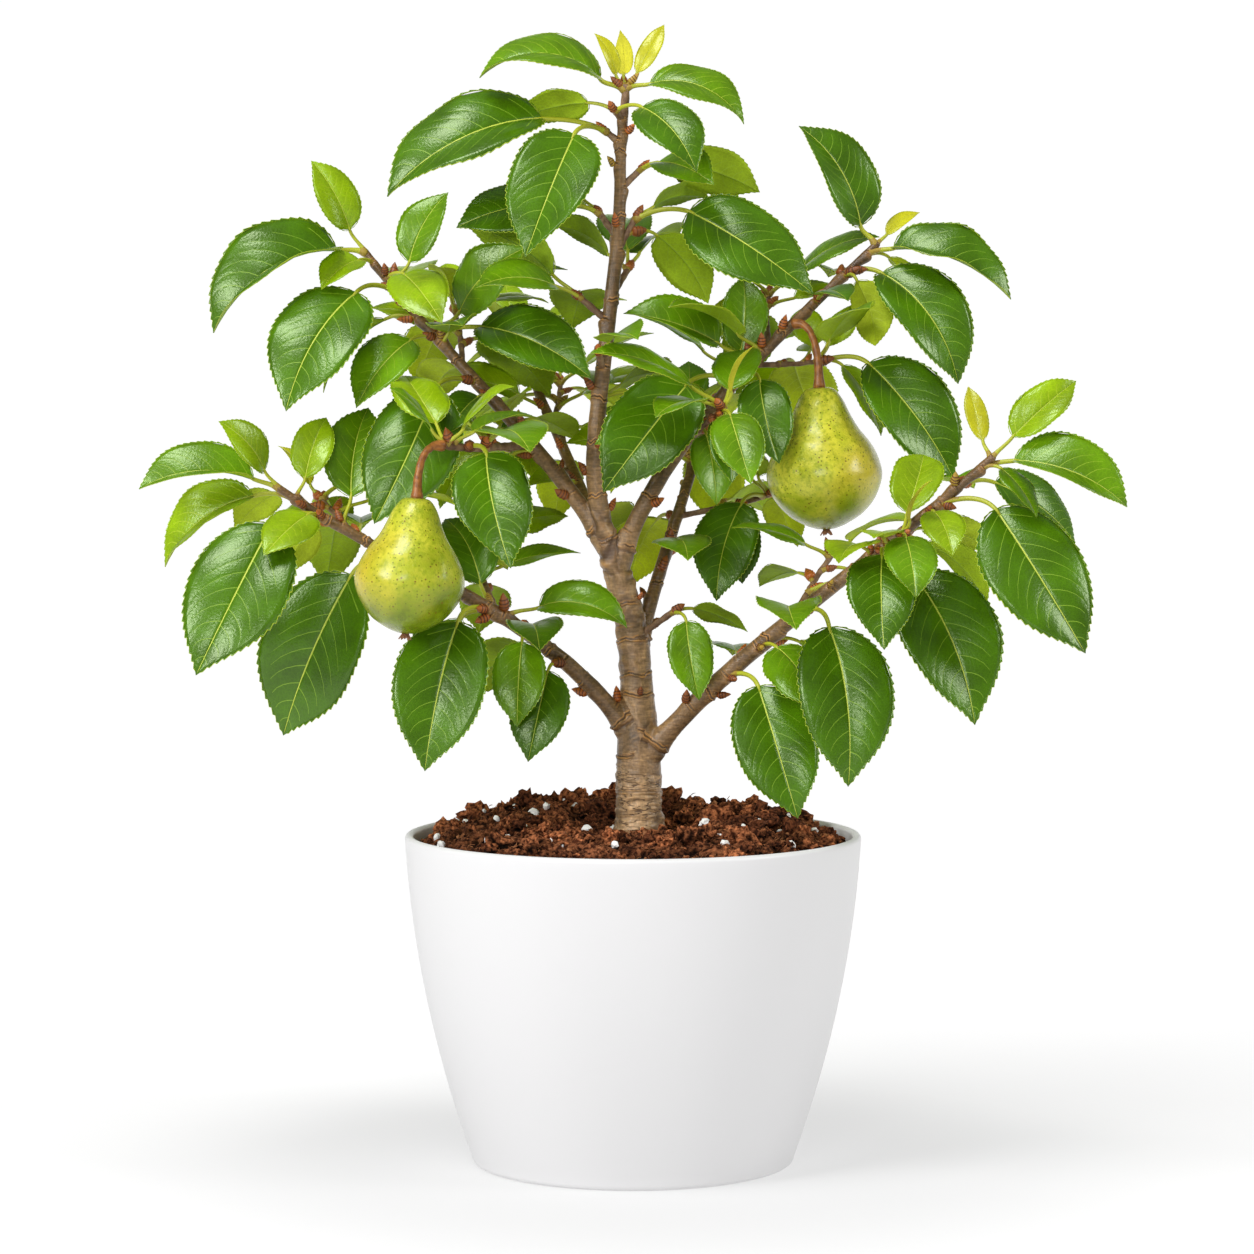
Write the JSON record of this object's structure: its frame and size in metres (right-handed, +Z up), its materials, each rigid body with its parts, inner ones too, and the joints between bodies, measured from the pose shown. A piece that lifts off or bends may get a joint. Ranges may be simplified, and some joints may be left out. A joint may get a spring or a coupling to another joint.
{
  "type": "potted pear tree",
  "caption": "Young pear tree with serrated glossy leaves and hanging pears, in a round white pot filled with peat soil.",
  "frame": {"origin": "centre of the flat underside of the pot", "axes": "+Z up along the pot's turning axis and up the trunk, -Y the side seen from the front, +X to the right"},
  "size_m": [0.5538, 0.323, 0.6625],
  "materials": {
    "pot": "satin white",
    "soil": "loose peat",
    "bark": "bark",
    "foliage": "waxy leaves"
  },
  "bodies": {
    "root": {"bough_lower_left": "bark", "bough_lower_right": "bark", "bough_rear_left": "bark", "bough_rear_right": "bark", "bough_upper_left": "bark", "bough_upper_right": "bark", "foliage_lower_left": "foliage", "foliage_lower_right": "foliage", "foliage_rear_left": "foliage", "foliage_rear_right": "foliage", "foliage_spur_a": "foliage", "foliage_spur_b": "foliage", "foliage_spur_c": "foliage", "foliage_spur_d": "foliage", "foliage_spur_e": "foliage", "foliage_spur_f": "foliage", "foliage_spur_g": "foliage", "foliage_spur_h": "foliage", "foliage_spur_i": "foliage", "foliage_spur_j": "foliage", "foliage_top": "foliage", "foliage_upper_left": "foliage", "foliage_upper_right": "foliage", "pot": "pot", "soil": "soil", "trunk": "bark"}
  },
  "joints": []
}
